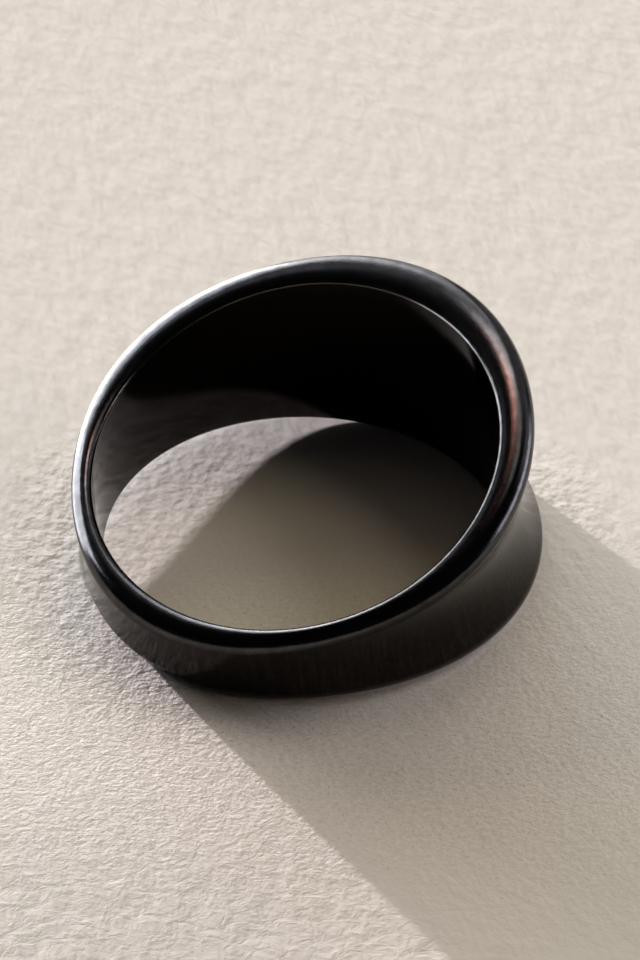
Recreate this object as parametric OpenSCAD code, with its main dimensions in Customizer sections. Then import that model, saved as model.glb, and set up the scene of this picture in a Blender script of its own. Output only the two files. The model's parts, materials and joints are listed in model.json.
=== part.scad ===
// Pinky ring: one band of blackened metal, wide and hollowed in front, that tapers to a narrow
// shank behind. It lies on its side, on its lower rim, with the face towards +X.
// Angles go round the finger from the middle of the face, 0, to the middle of the shank, 180.

/* [Finger hole] */
// Inner diameter of the band
finger_d = 15.7; // [13:0.1:20]

/* [Width across the rims] */
// Width at the middle of the face
face_w = 8.9; // [6:0.1:10.5]
// Width at the middle of the shank
shank_w = 3.1; // [2.9:0.1:5]

/* [Thickness of the rims] */
// Thickness at the middle of the face
face_t = 1.8; // [1.6:0.02:2.2]
// Thickness at the shoulders, 45 degrees from the face
shoulder_t = 1.41; // [1.3:0.01:1.6]
// Thickness at the sides, 90 degrees from the face
side_t = 1.15; // [1.05:0.01:1.5]
// Thickness at the flanks, 135 degrees from the face
flank_t = 0.83; // [0.82:0.01:1.2]
// Thickness at the middle of the shank
shank_t = 1.1; // [0.9:0.02:1.4]

/* [Shape of the rims] */
// How far the rims bow out at the face and the shank, and in at the sides
rim_bow = 0.08; // [0:0.01:0.1]
// Radius that rounds the inner edge
inner_round = 0.38; // [0.3:0.01:0.4]
// Radius that rounds the outer edge
outer_round = 0.6; // [0.3:0.01:0.62]
// Half of the angle that the crown between the two roundings spans
crown_angle = 14; // [13:1:18]
// How far the inner rounding would dip into the finger hole, which leaves a fine arris
arris_dip = 0.03; // [0.02:0.01:0.05]

/* [Hollow of the outer wall] */
// Depth at the middle of the face
hollow_depth = 0.9; // [0.2:0.05:1.1]
// How quickly the hollow fades towards the shank
hollow_fade = 1.2; // [1:0.1:2]

/* [Hidden] */

// The lofted blank is made of this many sections, and its arcs of this many chords.
sections = 96;
inner_steps = 5;
crown_steps = 4;
outer_steps = 7;
wall_steps = 3;
hole_facets = 128;

// The blank's inside stands this far proud of the finger hole, whose cut takes it off.
bore_stock = 0.35;
// The hollow never gets shallower than this, so that its arc keeps a centre.
least_depth = 0.01;

bore_r = finger_d / 2;
// But for their bow, both rims lie in planes that lean to either side of the middle of the band.
rim_slope = (face_w - shank_w) / 2 / (finger_d + (face_t + shank_t) / 2);
mid_h = shank_w / 2 - rim_bow + rim_slope * (bore_r + shank_t / 2);
// The band rests on the lower rim's two ends, at the face and at the shank.
rest_tilt = atan(rim_slope);
rest_h = (mid_h + rim_bow) * cos(rest_tilt);

// A cosine series passes through the five thicknesses, which stand 45 degrees apart.
rim_t = [face_t, shoulder_t, side_t, flank_t, shank_t];
last = len(rim_t) - 1;
function end_share(i) = i == 0 || i == last ? 0.5 : 1;
waves = [for (k = [0:last])
    end_share(k) * 2 / last * (rim_t * [for (j = [0:last]) end_share(j) * cos(180 / last * j * k)])];
function thickness(a) = waves * [for (k = [0:last]) cos(k * a)];

// Points along an arc in a section's plane, as [distance from the finger's axis, height].
function arc(centre, radius, from, to, steps, first = 0) =
    [for (i = [first:steps])
        let (angle = from + (to - from) * i / steps)
        centre + radius * [cos(angle), sin(angle)]];

// Upper half of the section at an angle: the inner rounding, the crown, the outer rounding and
// the hollow wall down to mid height, each arc tangent to the next. The crown's crest lies on
// the rim's line and leans with its plane.
function upper_half(a) =
    let (
        slope = rim_slope * cos(a),
        lean = atan(slope),
        inward = crown_angle + lean,
        outward = crown_angle - lean,
        outside_r = bore_r + thickness(a),
        inner_r = bore_r - arris_dip + inner_round,
        outer_r = outside_r - outer_round,
        crown_from = inner_r - inner_round * sin(inward),
        crown_to = outer_r + outer_round * sin(outward),
        crown_round = (crown_to - crown_from) / (sin(inward) + sin(outward)),
        crown_r = crown_from + crown_round * sin(inward),
        crest_z = mid_h + rim_bow * cos(2 * a) + slope * (crown_r - crown_round * sin(lean)),
        crown_z = crest_z - crown_round * cos(lean),
        inner_z = crown_z + (crown_round - inner_round) * cos(inward),
        outer_z = crown_z + (crown_round - outer_round) * cos(outward),
        depth = max(hollow_depth * pow((1 + cos(a)) / 2, hollow_fade), least_depth),
        centres = (outer_z * outer_z + depth * depth) / (2 * depth),
        turn = asin(outer_z / centres),
        wall_round = centres - outer_round
    )
    concat(
        arc([inner_r, inner_z], inner_round, 180, 90 + inward, inner_steps),
        arc([crown_r, crown_z], crown_round, 90 + inward, 90 - outward, crown_steps, 1),
        arc([outer_r, outer_z], outer_round, 90 - outward, -turn, outer_steps, 1),
        arc([outside_r - depth + wall_round, 0], wall_round, 180 - turn, 180, wall_steps, 1)
    );

// Whole section: the upper half, its mirror image back up from mid height, and the inside.
function section(a) =
    let (
        upper = upper_half(a),
        lower = [for (i = [len(upper) - 2:-1:0]) [upper[i].x, -upper[i].y]],
        inside = [for (side = [-1, 1]) [bore_r - bore_stock, side * upper[0].y]]
    )
    concat(upper, lower, inside);

outlines = [for (s = [0:sections - 1]) section(360 * s / sections)];
outline_points = len(outlines[0]);
band_points = [for (s = [0:sections - 1])
    let (a = 360 * s / sections)
    each [for (p = outlines[s]) [p.x * cos(a), p.x * sin(a), p.y]]];

function corner(s, p) = (s % sections) * outline_points + p % outline_points;
band_faces = [for (s = [0:sections - 1], p = [0:outline_points - 1])
    each [
        [corner(s, p), corner(s + 1, p), corner(s + 1, p + 1)],
        [corner(s, p), corner(s + 1, p + 1), corner(s, p + 1)]
    ]];

// The origin is under the middle of the band as it lies, on the surface that it lies on.
lying_x = [for (p = band_points) p.x * cos(rest_tilt) - p.z * sin(rest_tilt)];
footprint_mid = (max(lying_x) + min(lying_x)) / 2;

module finger_hole() {
    cylinder(h = 2 * face_w, d = finger_d, center = true, $fn = hole_facets);
}

module band() {
    color("#2a2b2f")
    translate([-footprint_mid, 0, rest_h])
    rotate([0, -rest_tilt, 0])
    difference() {
        polyhedron(points = band_points, faces = band_faces, convexity = 4);
        finger_hole();
    }
}

band();
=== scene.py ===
"""Pinky ring: a tapered band of blackened metal, lying on its side on a pale plaster surface.

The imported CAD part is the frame. The band's operator stands a finely divided copy of the same
form in its place, and the stage's operator lays the floor, the lamps and the camera round it.
"""

import json
import math

import bmesh
import bpy
from mathutils import Matrix, Vector


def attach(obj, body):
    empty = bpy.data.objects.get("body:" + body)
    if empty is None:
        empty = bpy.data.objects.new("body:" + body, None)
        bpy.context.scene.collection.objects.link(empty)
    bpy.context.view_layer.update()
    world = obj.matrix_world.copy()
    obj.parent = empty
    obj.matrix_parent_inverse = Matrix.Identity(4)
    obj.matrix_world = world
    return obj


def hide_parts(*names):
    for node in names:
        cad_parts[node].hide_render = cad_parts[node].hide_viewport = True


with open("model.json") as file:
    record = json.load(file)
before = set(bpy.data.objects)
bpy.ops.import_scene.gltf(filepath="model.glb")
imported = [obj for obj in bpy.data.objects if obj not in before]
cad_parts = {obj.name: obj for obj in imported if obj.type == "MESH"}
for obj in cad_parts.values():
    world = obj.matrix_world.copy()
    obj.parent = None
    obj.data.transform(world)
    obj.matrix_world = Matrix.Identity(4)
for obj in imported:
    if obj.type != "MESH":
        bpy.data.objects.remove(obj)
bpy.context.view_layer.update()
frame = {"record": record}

bl_info = {
    "name": "Pinky ring",
    "version": (1, 0, 0),
    "blender": (4, 5, 0),
    "location": "3D View > Sidebar > Ring",
    "description": "Builds a tapered pinky ring in blackened metal, with its stage",
    "category": "Object",
}

MM = 0.001
BORE = frame["record"]["mounts"][0]
RING_CENTRE = Vector(BORE["pos_m"])
RING_AXIS = Vector(BORE["axis"]).normalized()
LEAN = math.atan2(-RING_AXIS.x, RING_AXIS.z)

# The camera as fitted to the photo, with its heading measured from +X, and the lamps' zero azimuth,
# which is the picture's right.
CAMERA_AT = Vector((-88.22, -69.80, 98.49)) * MM
CAMERA_HEADING = math.radians(38.146)
CAMERA_DOWN = math.radians(40.176)
CAMERA_ROLL = math.radians(1.145)
CAMERA_LENS = 143.28
SENSOR_WIDTH = 36
CLIP_NEAR, CLIP_FAR = 0.01, 10
PHOTO_TURN = 51.854


# What a user would change

def length(name, default_mm, low_mm, high_mm, description):
    """A length's setting, given in millimetres."""
    return bpy.props.FloatProperty(
        name=name, description=description, default=default_mm * MM,
        min=low_mm * MM, max=high_mm * MM, unit="LENGTH", subtype="DISTANCE", precision=5)


def colour(name, value, description):
    """A colour's setting."""
    return bpy.props.FloatVectorProperty(
        name=name, description=description, default=value, size=3, min=0, max=1, subtype="COLOR")


def share(name, value, description):
    """The setting of a share between 0 and 1."""
    return bpy.props.FloatProperty(
        name=name, description=description, default=value, min=0, max=1, subtype="FACTOR")


class RingSizes(bpy.types.PropertyGroup):
    finger_d: length("Finger hole", 2 * BORE["dims"]["r_mm"], 13, 20, "Inner diameter of the band")
    face_w: length("Face width", 8.9, 6, 10.5, "Width across the rims at the middle of the face")
    shank_w: length("Shank width", 3.1, 2.9, 5, "Width across the rims at the middle of the shank")
    face_t: length("Face rim", 1.8, 1.6, 2.2, "Thickness of the rims at the middle of the face")
    shoulder_t: length(
        "Shoulder rim", 1.41, 1.3, 1.6, "Thickness of the rims 45 degrees from the face")
    side_t: length("Side rim", 1.15, 1.05, 1.5, "Thickness of the rims 90 degrees from the face")
    flank_t: length("Flank rim", 0.83, 0.82, 1.2, "Thickness of the rims 135 degrees from the face")
    shank_t: length("Shank rim", 1.1, 0.9, 1.4, "Thickness of the rims at the middle of the shank")
    rim_bow: length("Rim bow", 0.08, 0, 0.1, "How far the rims bow out at the face and the shank")
    bow_skew: share("Bow skew", 0.35, "How much more the rims bow in on the shank's side")
    inner_round: length("Inner rounding", 0.38, 0.3, 0.4, "Radius that rounds the inner edge")
    outer_round: length("Outer rounding", 0.6, 0.3, 0.62, "Radius that rounds the outer edge")
    arris_dip: length(
        "Arris", 0.03, 0.02, 0.05, "How far the inner rounding would dip into the hole")
    arris_bevel: length("Arris bevel", 0.02, 0.005, 0.04, "Width of the fine bevel on the arris")
    hollow_depth: length("Hollow", 0.9, 0.2, 1.1, "Depth of the outer wall's hollow at the face")
    crown_angle: bpy.props.FloatProperty(
        name="Crown", description="Half of the angle that the crown of a rim spans",
        default=math.radians(14), min=math.radians(13), max=math.radians(18),
        unit="ROTATION", subtype="ANGLE")
    hollow_fade: bpy.props.FloatProperty(
        name="Hollow fade", description="How quickly the hollow fades towards the shank",
        default=1.2, min=1, max=2)


class RingFinish(bpy.types.PropertyGroup):
    dark: colour("Blackening", (0.0168, 0.0142, 0.0127), "Colour of the metal where it is darkest")
    light: colour("Rubbed", (0.046, 0.041, 0.037), "Colour of the metal where it is rubbed lighter")
    rims: colour("Rims", (0.062, 0.062, 0.066), "Colour of the metal on the polished rims")
    worn: colour("Worn edge", (0.68, 0.57, 0.44), "Colour of the metal on its fine edges")
    rim_rough: share("Rim roughness", 0.16, "Roughness of the polished rims")
    bore_rough: share("Bore roughness", 0.09, "Roughness of the polished finger hole")
    wall_rough: share("Wall roughness", 0.13, "Roughness of the satin outer wall")
    grain_size: length("Grain", 0.07, 0.02, 0.5, "Size of the grain of the blackening")
    grain_depth: length("Grain depth", 0.0012, 0, 0.01, "Depth of the grain of the blackening")


class StageChoices(bpy.types.PropertyGroup):
    plaster: colour("Plaster", (0.76, 0.704, 0.65), "Colour of the floor")
    relief: length("Relief", 0.021, 0, 0.2, "Depth of the plaster's creases")


# The band's section: how many chords each of its parts has, and its two fixed lengths. The
# hollow never gets shallower than LEAST_DEPTH, so that its arc keeps a centre, and the worn
# edge reaches WORN_WIDTH down the hole's wall.

BORE_STEPS = 7
INNER_STEPS = 9
CROWN_STEPS = 8
OUTER_STEPS = 18
WALL_STEPS = 14
SECTIONS = 360
LEAST_DEPTH = 0.01 * MM
WORN_WIDTH = 0.05 * MM


def thickness(s, angle):
    """The rims' thickness at an angle round the finger: a cosine series through five values."""
    values = [s.face_t, s.shoulder_t, s.side_t, s.flank_t, s.shank_t]
    last = len(values) - 1
    ends = [0.5 if i in (0, last) else 1.0 for i in range(last + 1)]
    total = 0.0
    for k in range(last + 1):
        wave = sum(ends[j] * values[j] * math.cos(math.pi / last * j * k) for j in range(last + 1))
        total += ends[k] * 2 / last * wave * math.cos(k * angle)
    return total


def arc(centre, radius, start, end, steps, first=0):
    """Points along an arc, as (distance from the finger's axis, height)."""
    turn = [start + (end - start) * i / steps for i in range(first, steps + 1)]
    return [(centre[0] + radius * math.cos(t), centre[1] + radius * math.sin(t)) for t in turn]


def upper_half(s, angle):
    """The section's upper half: hole wall, inner rounding, crown, outer rounding, hollow wall."""
    bore_r = s.finger_d / 2
    rim_slope = (s.face_w - s.shank_w) / 2 / (s.finger_d + (s.face_t + s.shank_t) / 2)
    mid_h = s.shank_w / 2 - s.rim_bow + rim_slope * (bore_r + s.shank_t / 2)
    slope = rim_slope * math.cos(angle)
    lean = math.atan(slope)
    inward, outward = s.crown_angle + lean, s.crown_angle - lean
    outside_r = bore_r + thickness(s, angle)
    inner_r = bore_r - s.arris_dip + s.inner_round
    outer_r = outside_r - s.outer_round
    crown_from = inner_r - s.inner_round * math.sin(inward)
    crown_to = outer_r + s.outer_round * math.sin(outward)
    crown_round = (crown_to - crown_from) / (math.sin(inward) + math.sin(outward))
    crown_r = crown_from + crown_round * math.sin(inward)
    bow = math.cos(2 * angle) + 2 * s.bow_skew * math.sin(angle) ** 2 * math.cos(angle)
    crest_z = mid_h + s.rim_bow * bow + slope * (crown_r - crown_round * math.sin(lean))
    crown_z = crest_z - crown_round * math.cos(lean)
    inner_z = crown_z + (crown_round - s.inner_round) * math.cos(inward)
    outer_z = crown_z + (crown_round - s.outer_round) * math.cos(outward)
    depth = max(s.hollow_depth * ((1 + math.cos(angle)) / 2) ** s.hollow_fade, LEAST_DEPTH)
    centres = (outer_z ** 2 + depth ** 2) / (2 * depth)
    turn = math.asin(outer_z / centres)
    wall_round = centres - s.outer_round
    arris = math.pi - math.acos(1 - s.arris_dip / s.inner_round)
    arris_z = inner_z + s.inner_round * math.sin(arris)
    quarter = math.pi / 2
    hole = [(bore_r, arris_z * i / (BORE_STEPS - 1)) for i in range(BORE_STEPS - 1)]
    hole.append((bore_r, arris_z - WORN_WIDTH))
    return (hole
            + arc((inner_r, inner_z), s.inner_round, arris, quarter + inward, INNER_STEPS)
            + arc((crown_r, crown_z), crown_round, quarter + inward, quarter - outward,
                  CROWN_STEPS, 1)
            + arc((outer_r, outer_z), s.outer_round, quarter - outward, -turn, OUTER_STEPS, 1)
            + arc((outside_r - depth + wall_round, 0), wall_round, math.pi - turn, math.pi,
                  WALL_STEPS, 1))


def whole_section(s, angle):
    """The upper half and its mirror image, as one closed loop."""
    upper = upper_half(s, angle)
    return upper + [(r, -z) for r, z in reversed(upper[1:-1])]


# Stations count the section's points from the hole's mid height. A rim's share of the finish
# fades in over RIM_FADE_IN stations at the arris and fades out over RIM_FADE_OUT before the wall.
ARRIS_STATION = BORE_STEPS
WALL_STATION = BORE_STEPS + INNER_STEPS + CROWN_STEPS + OUTER_STEPS
RIM_FADE_IN = 3
RIM_FADE_OUT = 6
RIM_ENDS_BEFORE_WALL = 4
WEAR = {ARRIS_STATION: 1.0, ARRIS_STATION + 1: 0.4}
WEAR_AT_FACE = 0.1
BEVEL_SEGMENTS = 3


def lying_in_frame():
    """Takes the ring from upright on its own axis to where the CAD band lies."""
    return Matrix.Translation(RING_CENTRE) @ Matrix.Rotation(-LEAN, 4, "Y")


# Materials

def new_group(name, inputs, outputs):
    """A shader node group with named sockets; inputs are (name, type, default)."""
    tree = bpy.data.node_groups.new(name, "ShaderNodeTree")
    for label, kind, default in inputs:
        socket = tree.interface.new_socket(name=label, in_out="INPUT", socket_type=kind)
        if default is not None:
            socket.default_value = default
    for label, kind in outputs:
        tree.interface.new_socket(name=label, in_out="OUTPUT", socket_type=kind)
    return tree, tree.nodes.new("NodeGroupInput"), tree.nodes.new("NodeGroupOutput")


def add(tree, kind, links=None, **values):
    """A node with its properties set, and its sockets linked or, where given a value, set."""
    node = tree.nodes.new(kind)
    for key, value in values.items():
        setattr(node, key, value)
    for socket, source in (links or {}).items():
        if isinstance(source, bpy.types.NodeSocket):
            tree.links.new(source, node.inputs[socket])
        else:
            node.inputs[socket].default_value = source
    return node


def maths(tree, operation, a, b=None, clamp=False):
    """One step of arithmetic."""
    links = {0: a} if b is None else {0: a, 1: b}
    return add(tree, "ShaderNodeMath", links, operation=operation, use_clamp=clamp).outputs[0]


def ramp(tree, value, low, high, to_low=0.0, to_high=1.0):
    """Maps low..high to to_low..to_high with soft ends."""
    node = add(tree, "ShaderNodeMapRange", {"Value": value, "From Min": low, "From Max": high,
                                            "To Min": to_low, "To Max": to_high},
               interpolation_type="SMOOTHSTEP")
    return node.outputs["Result"]


def noise(tree, vector, scale, detail=2.0, roughness=0.5, distortion=0.0):
    """Noise between 0 and 1, at a scale per unit of the vector."""
    node = add(tree, "ShaderNodeTexNoise", {"Vector": vector, "Scale": scale, "Detail": detail,
                                            "Roughness": roughness, "Distortion": distortion})
    return node.outputs["Fac"]


def mix_colour(tree, factor, a, b):
    """A mix of two colours; a Mix node's sockets 6 and 7 and its output 2 are the coloured ones."""
    return add(tree, "ShaderNodeMix", {0: factor, 6: a, 7: b}, data_type="RGBA").outputs[2]


def mix_value(tree, factor, a, b):
    """A mix of two numbers, in a Mix node's sockets 2 and 3."""
    return add(tree, "ShaderNodeMix", {0: factor, 2: a, 3: b}).outputs[0]


def weighted(tree, *terms):
    """The sum of values, each times its weight."""
    total = None
    for value, weight in terms:
        product = maths(tree, "MULTIPLY", value, weight)
        total = product if total is None else maths(tree, "ADD", total, product)
    return total


BROAD_GRAIN = 0.14


def fine_grain_group():
    """Two sizes of grain on millimetre coordinates, for the metal's blackening and the plaster."""
    tree, into, out = new_group(
        "Fine grain",
        [("Vector", "NodeSocketVector", None), ("Size", "NodeSocketFloat", 0.1)],
        [("Height", "NodeSocketFloat"), ("Mottle", "NodeSocketFloat")])
    scale = maths(tree, "DIVIDE", 1.0, into.outputs["Size"])
    fine = noise(tree, into.outputs["Vector"], scale, 3.0, 0.7)
    broad_scale = maths(tree, "MULTIPLY", scale, BROAD_GRAIN)
    broad = noise(tree, into.outputs["Vector"], broad_scale, 3.0, 0.55)
    tree.links.new(fine, out.inputs["Height"])
    tree.links.new(broad, out.inputs["Mottle"])
    return tree


# Frequencies of the marks on the band: those named ROUND are per radian round it, and the others
# are per millimetre.
ACROSS_ROUND, ACROSS_HEIGHT = 60.0, 0.5
HAIRLINE_ROUND, HAIRLINE_PER_MM = 1.6, 14.0
DAPPLE_PER_MM = 4.5


def along_band_group():
    """Marks that follow the band: streaks across the walls, hairlines round the rims, dapples."""
    tree, into, out = new_group(
        "Marks along the band",
        [("Vector", "NodeSocketVector", None)],
        [("Across", "NodeSocketFloat"), ("Round", "NodeSocketFloat"),
         ("Dapple", "NodeSocketFloat")])
    parts = add(tree, "ShaderNodeSeparateXYZ", {0: into.outputs["Vector"]})
    height = parts.outputs[2]
    flat = add(tree, "ShaderNodeCombineXYZ", {0: parts.outputs[0], 1: parts.outputs[1]}).outputs[0]
    radius = add(tree, "ShaderNodeVectorMath", {0: flat}, operation="LENGTH").outputs["Value"]
    spoke = add(tree, "ShaderNodeVectorMath", {0: flat}, operation="NORMALIZE").outputs[0]
    unit = add(tree, "ShaderNodeSeparateXYZ", {0: spoke})
    across = add(tree, "ShaderNodeCombineXYZ", {
        0: maths(tree, "MULTIPLY", unit.outputs[0], ACROSS_ROUND),
        1: maths(tree, "MULTIPLY", unit.outputs[1], ACROSS_ROUND),
        2: maths(tree, "MULTIPLY", height, ACROSS_HEIGHT)}).outputs[0]
    hairlines = add(tree, "ShaderNodeCombineXYZ", {
        0: weighted(tree, (radius, HAIRLINE_PER_MM), (unit.outputs[0], HAIRLINE_ROUND)),
        1: maths(tree, "MULTIPLY", height, HAIRLINE_PER_MM),
        2: maths(tree, "MULTIPLY", unit.outputs[1], HAIRLINE_ROUND)}).outputs[0]
    dapple = noise(tree, into.outputs["Vector"], DAPPLE_PER_MM, 2.0, 0.6)
    tree.links.new(noise(tree, across, 1.0, 3.0, 0.6), out.inputs["Across"])
    tree.links.new(noise(tree, hairlines, 1.0, 3.0, 0.65), out.inputs["Round"])
    tree.links.new(dapple, out.inputs["Dapple"])
    return tree


def object_millimetres(tree, centre=(0, 0, 0), turn=(0, 0, 0)):
    """Object coordinates in millimetres, in a frame with the given centre and turn."""
    place = add(tree, "ShaderNodeTexCoord")
    mapping = add(tree, "ShaderNodeMapping", {"Vector": place.outputs["Object"], "Location": centre,
                                              "Rotation": turn, "Scale": (MM, MM, MM)},
                  vector_type="TEXTURE")
    return mapping.outputs[0]


def use_group(tree, group, links):
    """A node group in a tree, with its named sockets linked or set."""
    return add(tree, "ShaderNodeGroup", links, node_tree=group)


def attribute(tree, name):
    """A value that the mesh's vertices carry."""
    return add(tree, "ShaderNodeAttribute", attribute_name=name).outputs["Fac"]


def start_material(name):
    """A material with nothing but a Principled shader and its output."""
    material = bpy.data.materials.new(name)
    material.use_nodes = True
    tree = material.node_tree
    tree.nodes.clear()
    shader = tree.nodes.new("ShaderNodeBsdfPrincipled")
    output = tree.nodes.new("ShaderNodeOutputMaterial")
    tree.links.new(shader.outputs[0], output.inputs["Surface"])
    return material, tree, shader


# Each mark shows in the metal from a first value of its noise, and fully from a second one.
MOTTLE_SHOWS, STREAK_SHOWS, DAPPLE_SHOWS = (0.4, 0.7), (0.45, 0.7), (0.46, 0.66)
PATINA_SHOWS, WEAR_SHOWS = (0.3, 0.7), (0.35, 0.6)
HAIRLINE_SHOWS, GRAIN_SHOWS = (0.5, 0.75), (0.3, 0.7)
# How much each mark counts: in the metal's rubbing, in its roughness and in its relief.
RUBBED_STREAK, RUBBED_DAPPLE, RUBBED_MOTTLE = 0.3, 0.2, 0.10
LEAST_PATINA, LEAST_WEAR = 0.55, 0.35
ROUGH_HAIRLINE, ROUGH_GRAIN = 0.06, (-0.02, 0.03)
RIM_GRAIN, BORE_GRAIN_LOST = 2.2, 0.85
ACROSS_RELIEF, DAPPLE_RELIEF, HAIRLINE_RELIEF = 0.6, 4.0, 2.0
GLANCING_TINT = (0.88, 0.88, 0.88, 1)


def blackened_metal(finish, grain, marks):
    """Blackened silver: polished rims and hole, a satin outer wall and finely worn edges."""
    material, tree, shader = start_material("blackened_metal")
    ring_mm = object_millimetres(tree, RING_CENTRE, (0, -LEAN, 0))
    grained = use_group(tree, grain, {"Vector": ring_mm, "Size": finish.grain_size / MM}).outputs
    marked = use_group(tree, marks, {"Vector": ring_mm}).outputs
    rim, bore, edge = (attribute(tree, f"{part}_share") for part in ("rim", "bore", "edge"))
    satin = maths(tree, "SUBTRACT", 1.0, maths(tree, "ADD", rim, bore, clamp=True))

    mottle = ramp(tree, grained["Mottle"], *MOTTLE_SHOWS)
    streak = ramp(tree, marked["Across"], *STREAK_SHOWS)
    dapple = ramp(tree, marked["Dapple"], *DAPPLE_SHOWS)
    rubbed = maths(tree, "MULTIPLY", satin,
                   weighted(tree, (streak, RUBBED_STREAK), (dapple, RUBBED_DAPPLE)))
    rubbed = maths(tree, "ADD", rubbed, maths(tree, "MULTIPLY", mottle, RUBBED_MOTTLE), clamp=True)
    walls = mix_colour(tree, rubbed, (*finish.dark, 1), (*finish.light, 1))
    patina = ramp(tree, grained["Mottle"], *PATINA_SHOWS, LEAST_PATINA, 1.0)
    base = mix_colour(tree, maths(tree, "MULTIPLY", rim, patina), walls, (*finish.rims, 1))
    worn = ramp(tree, grained["Height"], *WEAR_SHOWS, LEAST_WEAR, 1.0)
    wear = maths(tree, "MULTIPLY", edge, worn, clamp=True)
    tree.links.new(mix_colour(tree, wear, base, (*finish.worn, 1)), shader.inputs["Base Color"])

    hairline = ramp(tree, marked["Round"], *HAIRLINE_SHOWS)
    rough = mix_value(tree, bore, finish.wall_rough, finish.bore_rough)
    rough = mix_value(tree, rim, rough, finish.rim_rough)
    rough = maths(tree, "ADD", rough,
                  ramp(tree, grained["Height"], *GRAIN_SHOWS, *ROUGH_GRAIN))
    rim_hairline = maths(tree, "MULTIPLY", rim, ROUGH_HAIRLINE)
    rough = maths(tree, "ADD", rough, maths(tree, "MULTIPLY", hairline, rim_hairline))
    tree.links.new(rough, shader.inputs["Roughness"])

    grain_share = maths(tree, "SUBTRACT",
                        maths(tree, "ADD", 1.0, maths(tree, "MULTIPLY", rim, RIM_GRAIN)),
                        maths(tree, "MULTIPLY", bore, BORE_GRAIN_LOST))
    satin_relief = weighted(tree, (marked["Across"], ACROSS_RELIEF),
                            (marked["Dapple"], DAPPLE_RELIEF))
    relief = weighted(tree, (grained["Height"], grain_share),
                      (marked["Round"], maths(tree, "MULTIPLY", rim, HAIRLINE_RELIEF)),
                      (satin_relief, satin))
    bump = add(tree, "ShaderNodeBump",
               {"Height": relief, "Distance": finish.grain_depth, "Strength": 1.0})
    tree.links.new(bump.outputs[0], shader.inputs["Normal"])
    shader.inputs["Metallic"].default_value = 1.0
    shader.inputs["Specular Tint"].default_value = GLANCING_TINT
    return material


# The plaster, with its distances in millimetres and its heights in units of the stage's relief.
# It is crispest along a line across the picture, CRISP_AHEAD beyond the ring, and fades from there.
CRISP_AHEAD, CRISP_FROM, CRISP_TO, LEAST_CRISP = -9.5, 2.0, 12.5, 0.05
# Its creases fade only beyond the ring.
CREASES_FADE = (-8.0, 6.0)
# Lumps lie round the ring, out to a distance, and give way behind it.
LUMPS_REACH, LUMPS_BEHIND, LEAST_LUMPS = (9.5, 14.0), (4.0, 9.0), 0.1
# Under the ring and inside it, the creases are softer and the floor dips towards the sun.
SOFT_REACH, INSIDE_SOFTNESS = (7.5, 9.0), 0.65
DIP_REACH, DIP_SLOPE, FROM_SUN = (8.35, 9.0), 1.35, (-0.78, -0.62, 0.0)
# Long swells run slantwise across the picture.
SWELL_TURN, SWELL_STRETCH = math.radians(-62), (0.55, 1.5, 1.0)
DRAWN_STRETCH = (1.0, 1.3, 1.0)
PLASTER_GRAIN = 0.17
SWELLS_PER_MM, LUMPS_PER_MM, CREASES_PER_MM, PITS_PER_MM = 0.75, 1.85, 1.9, 7.0
GRAIN_HEIGHT, CREASE_HEIGHT, LEAST_CREASE, SWELL_HEIGHT, LUMP_HEIGHT = 1.25, 0.9, 0.04, 1.2, 1.5
# PITS_SHOW and PIT_SHADE set where the small pits' painted shade shows as dark dots, and how dark
# it is.
PITS_SHOW = (0.60, 0.72)
PIT_SHADE, GRAIN_TINT, GRAIN_MIDDLE = 0.9, 1.7, 0.62
TINT_LIGHT, TINT_DARK = 1.2, 0.8
PLASTER_ROUGH = 0.9


def stretched(tree, vector, turn=0.0, scale=(1.0, 1.0, 1.0)):
    """A vector in axes turned about the vertical and stretched."""
    return add(tree, "ShaderNodeMapping",
               {"Vector": vector, "Rotation": (0, 0, turn), "Scale": scale},
               vector_type="TEXTURE").outputs[0]


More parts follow.
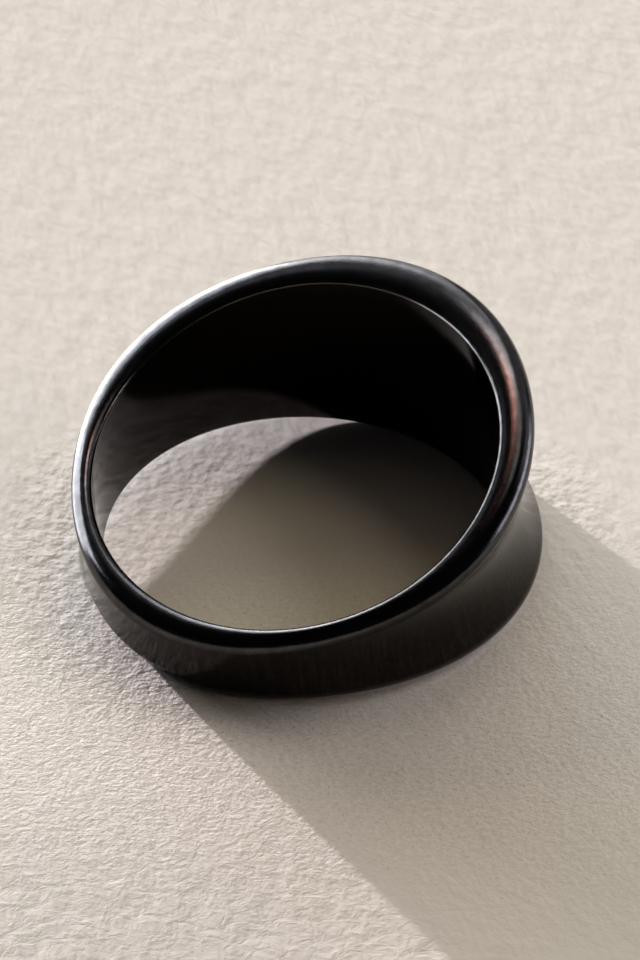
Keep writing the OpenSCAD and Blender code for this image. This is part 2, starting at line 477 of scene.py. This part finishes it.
def plaster(choices, grain):
    """Pale plaster whose fine relief is crisp round the ring's near side and softer farther off."""
    material, tree, shader = start_material("pale_plaster")
    mm = object_millimetres(tree)
    turned = stretched(tree, mm, CAMERA_HEADING)
    ahead = add(tree, "ShaderNodeSeparateXYZ", {0: turned}).outputs[0]
    from_crisp = maths(tree, "ABSOLUTE", maths(tree, "SUBTRACT", ahead, CRISP_AHEAD))
    crisp = ramp(tree, from_crisp, CRISP_FROM, CRISP_TO, 1.0, LEAST_CRISP)
    from_ring = add(tree, "ShaderNodeVectorMath", {0: mm}, operation="LENGTH").outputs["Value"]
    near_ring = maths(tree, "MULTIPLY", ramp(tree, from_ring, *LUMPS_REACH, 1.0, 0.0),
                      ramp(tree, ahead, *LUMPS_BEHIND, 1.0, LEAST_LUMPS))
    softly = ramp(tree, from_ring, *SOFT_REACH, INSIDE_SOFTNESS, 1.0)

    drawn = stretched(tree, turned, scale=DRAWN_STRETCH)
    grained = use_group(tree, grain, {"Vector": drawn, "Size": PLASTER_GRAIN}).outputs
    # The plaster's tone mixes two things: painted shade of small pits, as dark dots with no relief,
    # and the grains' own tone, which is darker on the higher grains.
    pit_shade = ramp(tree, noise(tree, mm, PITS_PER_MM, 2.0, 0.6), *PITS_SHOW)
    above_middle = maths(tree, "SUBTRACT", grained["Height"], GRAIN_MIDDLE)
    grain_tone_and_pit_shade = weighted(tree, (pit_shade, PIT_SHADE), (above_middle, GRAIN_TINT))
    tint = mix_colour(tree, maths(tree, "ADD", maths(tree, "MULTIPLY", grain_tone_and_pit_shade, crisp), 0.5),
                      (*[min(1.0, c * TINT_LIGHT) for c in choices.plaster], 1),
                      (*[c * TINT_DARK for c in choices.plaster], 1))
    tree.links.new(tint, shader.inputs["Base Color"])
    shader.inputs["Roughness"].default_value = PLASTER_ROUGH
    shader.inputs["Specular IOR Level"].default_value = 0.0

    crease = noise(tree, drawn, CREASES_PER_MM, 3.0, 0.62, 0.5)
    creased = ramp(tree, ahead, *CREASES_FADE, CREASE_HEIGHT, LEAST_CREASE)
    fine = weighted(tree, (grained["Height"], maths(tree, "MULTIPLY", crisp, GRAIN_HEIGHT)),
                    (crease, creased))
    slanted = stretched(tree, turned, SWELL_TURN, SWELL_STRETCH)
    swell = noise(tree, slanted, SWELLS_PER_MM, 2.0, 0.55)
    lumps = maths(tree, "MULTIPLY", noise(tree, turned, LUMPS_PER_MM, 1.7, 0.55),
                  maths(tree, "MULTIPLY", near_ring, softly))
    away = add(tree, "ShaderNodeVectorMath", {0: turned, 1: FROM_SUN},
               operation="DOT_PRODUCT").outputs["Value"]
    slope = ramp(tree, from_ring, *DIP_REACH, DIP_SLOPE, 0.0)
    relief = weighted(tree, (fine, softly), (swell, SWELL_HEIGHT), (lumps, LUMP_HEIGHT),
                      (away, slope))
    bump = add(tree, "ShaderNodeBump",
               {"Height": relief, "Distance": choices.relief, "Strength": 1.0})
    tree.links.new(bump.outputs[0], shader.inputs["Normal"])
    return material


# Operators

def shared_grain():
    """The grain group, made once and used by both materials."""
    return bpy.data.node_groups.get("Fine grain") or fine_grain_group()


def finish_mesh(bm, name, material):
    """An object from a finished bmesh, at the origin."""
    mesh = bpy.data.meshes.new(name)
    bm.to_mesh(mesh)
    bm.free()
    mesh.materials.append(material)
    piece = bpy.data.objects.new(name, mesh)
    bpy.context.scene.collection.objects.link(piece)
    return piece


class PINKYRING_OT_band(bpy.types.Operator):
    """Spins one section round the finger hole and reshapes it into the tapered, hollowed band"""
    bl_idname = "pinky_ring.band"
    bl_label = "Make the band"

    def execute(self, context):
        sizes, finish = context.scene.ring_sizes, context.scene.ring_finish
        bm = bmesh.new()
        station = bm.verts.layers.int.new("station")
        section = whole_section(sizes, 0.0)
        loop = [bm.verts.new((r, 0, z)) for r, z in section]
        for i, vert in enumerate(loop):
            vert[station] = i
        edges = [bm.edges.new((a, b)) for a, b in zip(loop, loop[1:] + loop[:1])]
        bmesh.ops.spin(bm, geom=loop + edges, cent=(0, 0, 0), axis=(0, 0, 1), dvec=(0, 0, 0),
                       angle=2 * math.pi, steps=SECTIONS, use_merge=True, use_normal_flip=False,
                       use_duplicate=False)
        self.reshape(bm, sizes, station)
        self.mark(bm, station, len(section))
        self.ease_arris(bm, station, len(section), sizes.arris_bevel)
        bm.verts.layers.int.remove(station)
        bmesh.ops.recalc_face_normals(bm, faces=bm.faces)
        for face in bm.faces:
            face.smooth = True
        bmesh.ops.transform(bm, matrix=lying_in_frame(), verts=bm.verts)
        material = blackened_metal(finish, shared_grain(), along_band_group())
        band = finish_mesh(bm, "tapered_band", material)
        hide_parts("band")
        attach(band, "root")
        return {"FINISHED"}

    @staticmethod
    def reshape(bm, sizes, station):
        """Moves every vertex to its station on the section at its own angle."""
        sections = {}
        for vert in bm.verts:
            angle = math.atan2(vert.co.y, vert.co.x)
            step = round(angle / (2 * math.pi) * SECTIONS) % SECTIONS
            if step not in sections:
                sections[step] = whole_section(sizes, 2 * math.pi * step / SECTIONS)
            r, z = sections[step][vert[station]]
            turn = 2 * math.pi * step / SECTIONS
            vert.co = (r * math.cos(turn), r * math.sin(turn), z)

    @staticmethod
    def mark(bm, station, stations):
        """Says how much each vertex belongs to a rim, and to a fine edge that wears bright."""
        rim = bm.verts.layers.float.new("rim_share")
        edge = bm.verts.layers.float.new("edge_share")
        bore = bm.verts.layers.float.new("bore_share")
        rim_end = WALL_STATION - RIM_ENDS_BEFORE_WALL
        for vert in bm.verts:
            s = min(vert[station], stations - vert[station])
            inside = min(1.0, max(0.0, (s - ARRIS_STATION) / RIM_FADE_IN + 0.5))
            outside = min(1.0, max(0.0, (rim_end - s) / RIM_FADE_OUT + 0.5))
            vert[rim] = inside * outside
            shankward = (1 - vert.co.x / vert.co.xy.length) / 2
            vert[edge] = WEAR.get(s, 0.0) * (WEAR_AT_FACE + (1 - WEAR_AT_FACE) * shankward)
            vert[bore] = 1.0 if s < ARRIS_STATION else 0.0

    @staticmethod
    def ease_arris(bm, station, stations, width):
        """Takes the sharpness off the two arrises with a fine bevel."""
        arrises = {ARRIS_STATION, stations - ARRIS_STATION}
        edges = [e for e in bm.edges
                 if e.verts[0][station] in arrises and e.verts[0][station] == e.verts[1][station]]
        bmesh.ops.bevel(bm, geom=edges, offset=width, offset_type="OFFSET",
                        segments=BEVEL_SEGMENTS, profile=0.5, affect="EDGES", clamp_overlap=True,
                        material=-1)


def from_azimuth(azimuth, elevation, distance):
    """A point at an azimuth from the picture's right, anticlockwise as seen from above."""
    a, e = math.radians(azimuth - PHOTO_TURN), math.radians(elevation)
    return Vector((math.cos(a) * math.cos(e), math.sin(a) * math.cos(e), math.sin(e))) * distance


LAMP_AIM = Vector((0, 0, 4)) * MM
# Name, azimuth, elevation, distance in metres, angular width, height and roll in degrees, radiance,
# tint and what it lights: b both the floor and the metal, f the floor alone, m the metal alone.
LAMPS = (
    ("low_sun", 128.5, 2.06, 2.0, 1.1, 0.35, 0, 170000, (0.96, 0.91, 0.97), "b"),
    ("window_left", 134, 8, 2.0, 28, 14, 0, 25.0, (0.94, 0.94, 1.0), "f"),
    ("window_middle", 103, 8, 2.0, 30, 14, 0, 16.0, (0.53, 0.83, 1.0), "f"),
    ("window_right", 74, 8, 2.0, 30, 14, 0, 16.0, (1.0, 0.96, 0.86), "f"),
    ("window_upper", 105, 22, 2.0, 40, 15, 0, 3.4, (0.9, 0.92, 0.85), "f"),
    ("window_top", 120, 35, 2.0, 34, 13, 0, 2.7, (1.0, 0.88, 0.55), "f"),
    ("right_box", 20, 42, 1.0, 30, 14, 0, 4.2, (1.0, 0.99, 0.97), "f"),
    ("overhead_box", 40, 62, 1.0, 40, 22, 0, 1.15, (1.0, 0.93, 0.7), "f"),
    ("high_bounce", 100, 68, 1.0, 50, 34, 0, 0.3, (1.0, 0.8, 0.6), "f"),
    ("front_right_box", 340, 36, 1.0, 24, 12, 0, 1.6, (1.0, 0.79, 0.42), "f"),
    ("low_right_box", 5, 15, 1.0, 44, 22, 0, 2.6, (0.94, 0.85, 1.0), "f"),
    ("left_sheet", 170.5, 2.9, 0.0148, 34, 32, -25, 10.5, (0.92, 0.95, 1.0), "m"),
    ("back_sheet", 127, 5.9, 0.0171, 50, 37, 0, 11.7, (1.0, 0.99, 0.96), "m"),
    ("back_sheet_top", 127, 29.8, 0.0196, 44, 15, 0, 6.0, (0.88, 0.93, 1.0), "m"),
    ("window_edge", 101, 23, 1.0, 14, 46, 0, 5.6, (0.98, 0.98, 1.0), "m"),
    ("back_card", 86.5, 29, 1.0, 15, 50, 0, 2.4, (1.0, 0.99, 1.0), "m"),
    ("back_fade", 115, 52.5, 0.0378, 38, 12.2, 0, 0.7, (0.90, 0.95, 1.0), "m"),
    ("overhead_card", 68.6, 63.4, 0.0336, 15.3, 11.4, 20, 7.0, (1.0, 0.98, 0.95), "m"),
    ("overhead_tail", 24.6, 66.3, 0.0328, 15.0, 13.4, -25, 1.8, (1.0, 1.0, 0.86), "m"),
    ("copper_card", 70.1, 70.1, 0.0319, 9.9, 7.3, 20, 11.0, (1.0, 0.38, 0.24), "m"),
    ("window_front", 112, 27, 1.0, 16, 14, 0, 7.0, (1.0, 0.95, 0.87), "m"),
    ("right_dim", 58, 33, 1.0, 32, 56, 0, 0.42, (1.0, 0.97, 0.95), "m"),
    ("right_card", 24, 31, 1.0, 22, 24, 0, 0.75, (0.92, 0.93, 1.0), "m"),
    ("lavender_card", 10, 9, 1.0, 42, 19, 0, 5.2, (0.93, 0.89, 1.0), "m"),
)


def lamp(name, azimuth, elevation, distance, width, height, roll, radiance, tint, lights):
    """A rectangular soft lamp that faces the ring, sized by the angles it spans from there."""
    data = bpy.data.lights.new(name, "AREA")
    data.shape = "RECTANGLE"
    data.size = 2 * distance * math.tan(math.radians(width) / 2)
    data.size_y = 2 * distance * math.tan(math.radians(height) / 2)
    data.energy, data.color = radiance * math.pi * data.size * data.size_y, tint
    light = bpy.data.objects.new(name, data)
    light.location = LAMP_AIM + from_azimuth(azimuth, elevation, distance)
    facing = (light.location - LAMP_AIM).to_track_quat("Z", "Y").to_matrix()
    light.rotation_euler = (facing @ Matrix.Rotation(math.radians(roll), 3, "Z")).to_euler()
    light.visible_camera = False
    light.visible_glossy, light.visible_diffuse = lights in "bm", lights in "bf"
    bpy.context.scene.collection.objects.link(light)


FLOOR_HALF = 0.6
ROOM_TONE = (0.012, 0.012, 0.013, 1)
FAR_TONE = (0.66, 0.62, 0.57, 1)


class PINKYRING_OT_stage(bpy.types.Operator):
    """Lays the plaster floor, the soft lamps and the camera round the ring"""
    bl_idname = "pinky_ring.stage"
    bl_label = "Make the stage"

    def execute(self, context):
        scene, choices = context.scene, context.scene.ring_stage
        bm = bmesh.new()
        bmesh.ops.create_grid(bm, x_segments=8, y_segments=8, size=FLOOR_HALF)
        finish_mesh(bm, "floor", plaster(choices, shared_grain()))
        for row in LAMPS:
            lamp(*row)
        self.backdrop(scene)
        self.camera(scene)
        scene.view_settings.view_transform = "Standard"
        return {"FINISHED"}

    @staticmethod
    def backdrop(scene):
        """A room that is dark to the lamps' light and pale behind the floor's far edge."""
        world = bpy.data.worlds.new("dark_room")
        scene.world = world
        world.use_nodes = True
        tree = world.node_tree
        tree.nodes.clear()
        seen = add(tree, "ShaderNodeLightPath").outputs["Is Camera Ray"]
        tone = mix_colour(tree, seen, ROOM_TONE, FAR_TONE)
        background = add(tree, "ShaderNodeBackground", {"Color": tone})
        add(tree, "ShaderNodeOutputWorld", {"Surface": background.outputs[0]})

    @staticmethod
    def camera(scene):
        """The camera where the photo's was."""
        data = bpy.data.cameras.new("camera")
        data.lens = CAMERA_LENS
        data.sensor_width = SENSOR_WIDTH
        data.clip_start, data.clip_end = CLIP_NEAR, CLIP_FAR
        camera = bpy.data.objects.new("camera", data)
        ahead = Vector((math.cos(CAMERA_HEADING) * math.cos(CAMERA_DOWN),
                        math.sin(CAMERA_HEADING) * math.cos(CAMERA_DOWN), -math.sin(CAMERA_DOWN)))
        turn = ahead.to_track_quat("-Z", "Y").to_matrix() @ Matrix.Rotation(CAMERA_ROLL, 3, "Z")
        camera.matrix_world = Matrix.Translation(CAMERA_AT) @ turn.to_4x4()
        scene.collection.objects.link(camera)
        scene.camera = camera


class PINKYRING_PT_panel(bpy.types.Panel):
    """Sizes, finish and stage of the ring"""
    bl_idname = "PINKYRING_PT_panel"
    bl_label = "Pinky ring"
    bl_space_type = "VIEW_3D"
    bl_region_type = "UI"
    bl_category = "Ring"

    def draw(self, context):
        for group, operator in (("ring_sizes", None), ("ring_finish", "pinky_ring.band"),
                                ("ring_stage", "pinky_ring.stage")):
            settings = getattr(context.scene, group)
            for key in settings.__annotations__:
                self.layout.prop(settings, key)
            if operator:
                self.layout.operator(operator)


CLASSES = (RingSizes, RingFinish, StageChoices, PINKYRING_OT_band, PINKYRING_OT_stage,
           PINKYRING_PT_panel)
SETTINGS = {"ring_sizes": RingSizes, "ring_finish": RingFinish, "ring_stage": StageChoices}


def register():
    """Makes the add-on's classes and settings known."""
    for cls in CLASSES:
        bpy.utils.register_class(cls)
    for name, group in SETTINGS.items():
        setattr(bpy.types.Scene, name, bpy.props.PointerProperty(type=group))


def unregister():
    """Takes them away again."""
    for name in SETTINGS:
        delattr(bpy.types.Scene, name)
    for cls in reversed(CLASSES):
        bpy.utils.unregister_class(cls)


def main():
    """Builds the ring and its stage."""
    register()
    bpy.ops.pinky_ring.band()
    bpy.ops.pinky_ring.stage()


if __name__ == "__main__":
    main()
